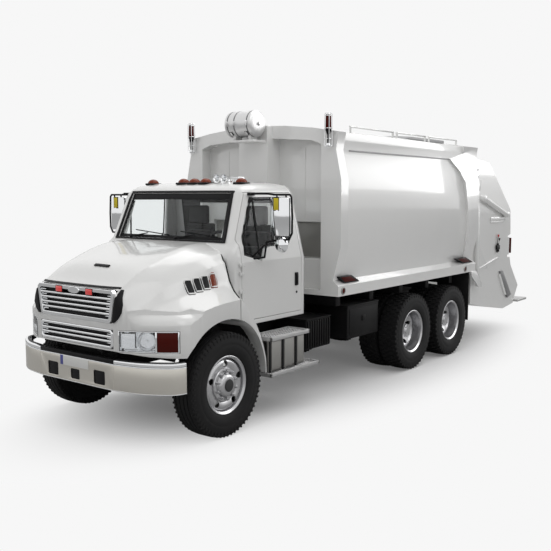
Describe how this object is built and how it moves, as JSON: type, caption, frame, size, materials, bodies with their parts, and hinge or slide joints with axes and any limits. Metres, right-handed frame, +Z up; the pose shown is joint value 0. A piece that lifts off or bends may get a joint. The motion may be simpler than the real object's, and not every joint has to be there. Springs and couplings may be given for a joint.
{
  "type": "rear loading refuse truck",
  "caption": "White bonneted three-axle refuse truck with a closed body, a rear loading tailgate hopper and its packer.",
  "frame": {"origin": "centre of the vehicle's box on the ground", "axes": "+Z up, the truck faces -Y, its left side is +X"},
  "size_m": [2.88, 9.354, 3.45],
  "materials": {
    "white_paint": "gloss",
    "black_paint": "satin",
    "bright_chrome": "polished",
    "satin_chrome": "satin",
    "polished_aluminium": "polished",
    "steel": "worn",
    "cast": "rough",
    "tyre_rubber": "matte",
    "black_rubber": "matte",
    "dark_plastic": "grained",
    "seat_cover": "woven",
    "clear_glass": "clear",
    "dark_grey": "satin",
    "lamp_lens": "moulded"
  },
  "bodies": {
    "chassis": {"axles": "cast", "beacons": "black_paint", "body_frame": "white_paint", "bumper": "satin_chrome", "cab_glass": "clear_glass", "cab_inside": "dark_plastic", "cab_shell": "white_paint", "cab_steps": "satin_chrome", "container": "white_paint", "drum_tank": "polished_aluminium", "engine": "cast", "frame": "black_paint", "gate_hinges": "white_paint", "mud_flaps": "black_rubber", "roof_cover": "dark_grey", "roof_fixtures": "lamp_lens", "roof_rails": "white_paint", "seats": "seat_cover", "side_boxes": "black_paint", "side_lamps": "lamp_lens", "springs": "cast"},
    "knuckle_left": {"knuckle_left": "cast"},
    "front_wheel_left": {"front_tyre_left": "tyre_rubber", "front_wheel_left": "polished_aluminium"},
    "wheels_2_left": {"tyres_2_left": "tyre_rubber", "wheels_2_left": "polished_aluminium"},
    "wheels_3_left": {"tyres_3_left": "tyre_rubber", "wheels_3_left": "polished_aluminium"},
    "door_left": {"door_left": "white_paint", "door_glass_left": "clear_glass", "mirror_left": "bright_chrome"},
    "lift_barrel_left": {"lift_barrel_left": "white_paint"},
    "lift_rod_left": {"lift_rod_left": "steel"},
    "knuckle_right": {"knuckle_right": "cast"},
    "front_wheel_right": {"front_tyre_right": "tyre_rubber", "front_wheel_right": "polished_aluminium"},
    "wheels_2_right": {"tyres_2_right": "tyre_rubber", "wheels_2_right": "polished_aluminium"},
    "wheels_3_right": {"tyres_3_right": "tyre_rubber", "wheels_3_right": "polished_aluminium"},
    "door_right": {"door_right": "white_paint", "door_glass_right": "clear_glass", "mirror_right": "bright_chrome"},
    "lift_barrel_right": {"lift_barrel_right": "white_paint"},
    "lift_rod_right": {"lift_rod_right": "steel"},
    "hood": {"hood": "white_paint", "grilles": "bright_chrome", "grille_mesh": "black_paint", "front_lamps": "clear_glass"},
    "tailgate": {"tailgate": "white_paint", "tail_step": "steel", "gate_fittings": "black_paint"},
    "packer_carriage": {"packer_carriage": "steel"},
    "packer_panel": {"packer_panel": "steel"},
    "ejector": {"ejector_blade": "steel"}
  },
  "joints": [
    {"name": "steer_left", "type": "hinge", "parent": "chassis", "child": "knuckle_left", "pos_m": [0.88, -3.723, 0.533], "axis": [0, 0, 1], "range_deg": [-32, 32]},
    {"name": "front_spin_left", "type": "hinge", "parent": "knuckle_left", "child": "front_wheel_left", "pos_m": [1.047, -3.723, 0.533], "axis": [1, 0, 0], "continuous": true},
    {"name": "spin_2_left", "type": "hinge", "parent": "chassis", "child": "wheels_2_left", "pos_m": [0.918, 0.177, 0.533], "axis": [1, 0, 0], "continuous": true},
    {"name": "spin_3_left", "type": "hinge", "parent": "chassis", "child": "wheels_3_left", "pos_m": [0.918, 1.397, 0.533], "axis": [1, 0, 0], "continuous": true},
    {"name": "door_swing_left", "type": "hinge", "parent": "chassis", "child": "door_left", "pos_m": [1.048, -3.329, 1.6], "axis": [0, 0, -1], "range_deg": [0, 70]},
    {"name": "steer_right", "type": "hinge", "parent": "chassis", "child": "knuckle_right", "pos_m": [-0.88, -3.723, 0.533], "axis": [0, 0, 1], "range_deg": [-32, 32]},
    {"name": "front_spin_right", "type": "hinge", "parent": "knuckle_right", "child": "front_wheel_right", "pos_m": [-1.047, -3.723, 0.533], "axis": [1, 0, 0], "continuous": true},
    {"name": "spin_2_right", "type": "hinge", "parent": "chassis", "child": "wheels_2_right", "pos_m": [-0.918, 0.177, 0.533], "axis": [1, 0, 0], "continuous": true},
    {"name": "spin_3_right", "type": "hinge", "parent": "chassis", "child": "wheels_3_right", "pos_m": [-0.918, 1.397, 0.533], "axis": [1, 0, 0], "continuous": true},
    {"name": "door_swing_right", "type": "hinge", "parent": "chassis", "child": "door_right", "pos_m": [-1.048, -3.329, 1.6], "axis": [0, 0, 1], "range_deg": [0, 70]},
    {"name": "hood_tilt", "type": "hinge", "parent": "chassis", "child": "hood", "pos_m": [0, -4.603, 0.925], "axis": [1, 0, 0], "range_deg": [0, 60]},
    {"name": "tailgate_lift", "type": "hinge", "parent": "chassis", "child": "tailgate", "pos_m": [0, 2.267, 3.12], "axis": [1, 0, 0], "range_deg": [0, 85]},
    {"name": "lift_swing_left", "type": "hinge", "parent": "chassis", "child": "lift_barrel_left", "pos_m": [1.172, 2.427, 0.985], "axis": [-1, 0, 0], "range_deg": [0, 9.49]},
    {"name": "lift_reach_left", "type": "slide", "parent": "lift_barrel_left", "child": "lift_rod_left", "axis": [0, -0.0726, 0.9974], "range_m": [0, 0.3552]},
    {"name": "lift_swing_right", "type": "hinge", "parent": "chassis", "child": "lift_barrel_right", "pos_m": [-1.172, 2.427, 0.985], "axis": [-1, 0, 0], "range_deg": [0, 9.49]},
    {"name": "lift_reach_right", "type": "slide", "parent": "lift_barrel_right", "child": "lift_rod_right", "axis": [0, -0.0726, 0.9974], "range_m": [0, 0.3552]},
    {"name": "packer_slide", "type": "slide", "parent": "tailgate", "child": "packer_carriage", "axis": [0, 0.7431, -0.6691], "range_m": [0, 0.6]},
    {"name": "packer_swing", "type": "hinge", "parent": "packer_carriage", "child": "packer_panel", "pos_m": [0, 2.977, 1.75], "axis": [1, 0, 0], "range_deg": [0, 70]},
    {"name": "ejector_push", "type": "slide", "parent": "chassis", "child": "ejector", "axis": [0, 1, 0], "range_m": [0, 3.25]}
  ],
  "couplings": [
    {"joint": "steer_right", "follows": "steer_left", "ratio": 1},
    {"joint": "lift_swing_left", "follows": "tailgate_lift", "ratio": 0.10925},
    {"joint": "lift_reach_left", "follows": "tailgate_lift", "m_per_rad": 0.23809},
    {"joint": "lift_swing_right", "follows": "tailgate_lift", "ratio": 0.10925},
    {"joint": "lift_reach_right", "follows": "tailgate_lift", "m_per_rad": 0.23809}
  ]
}
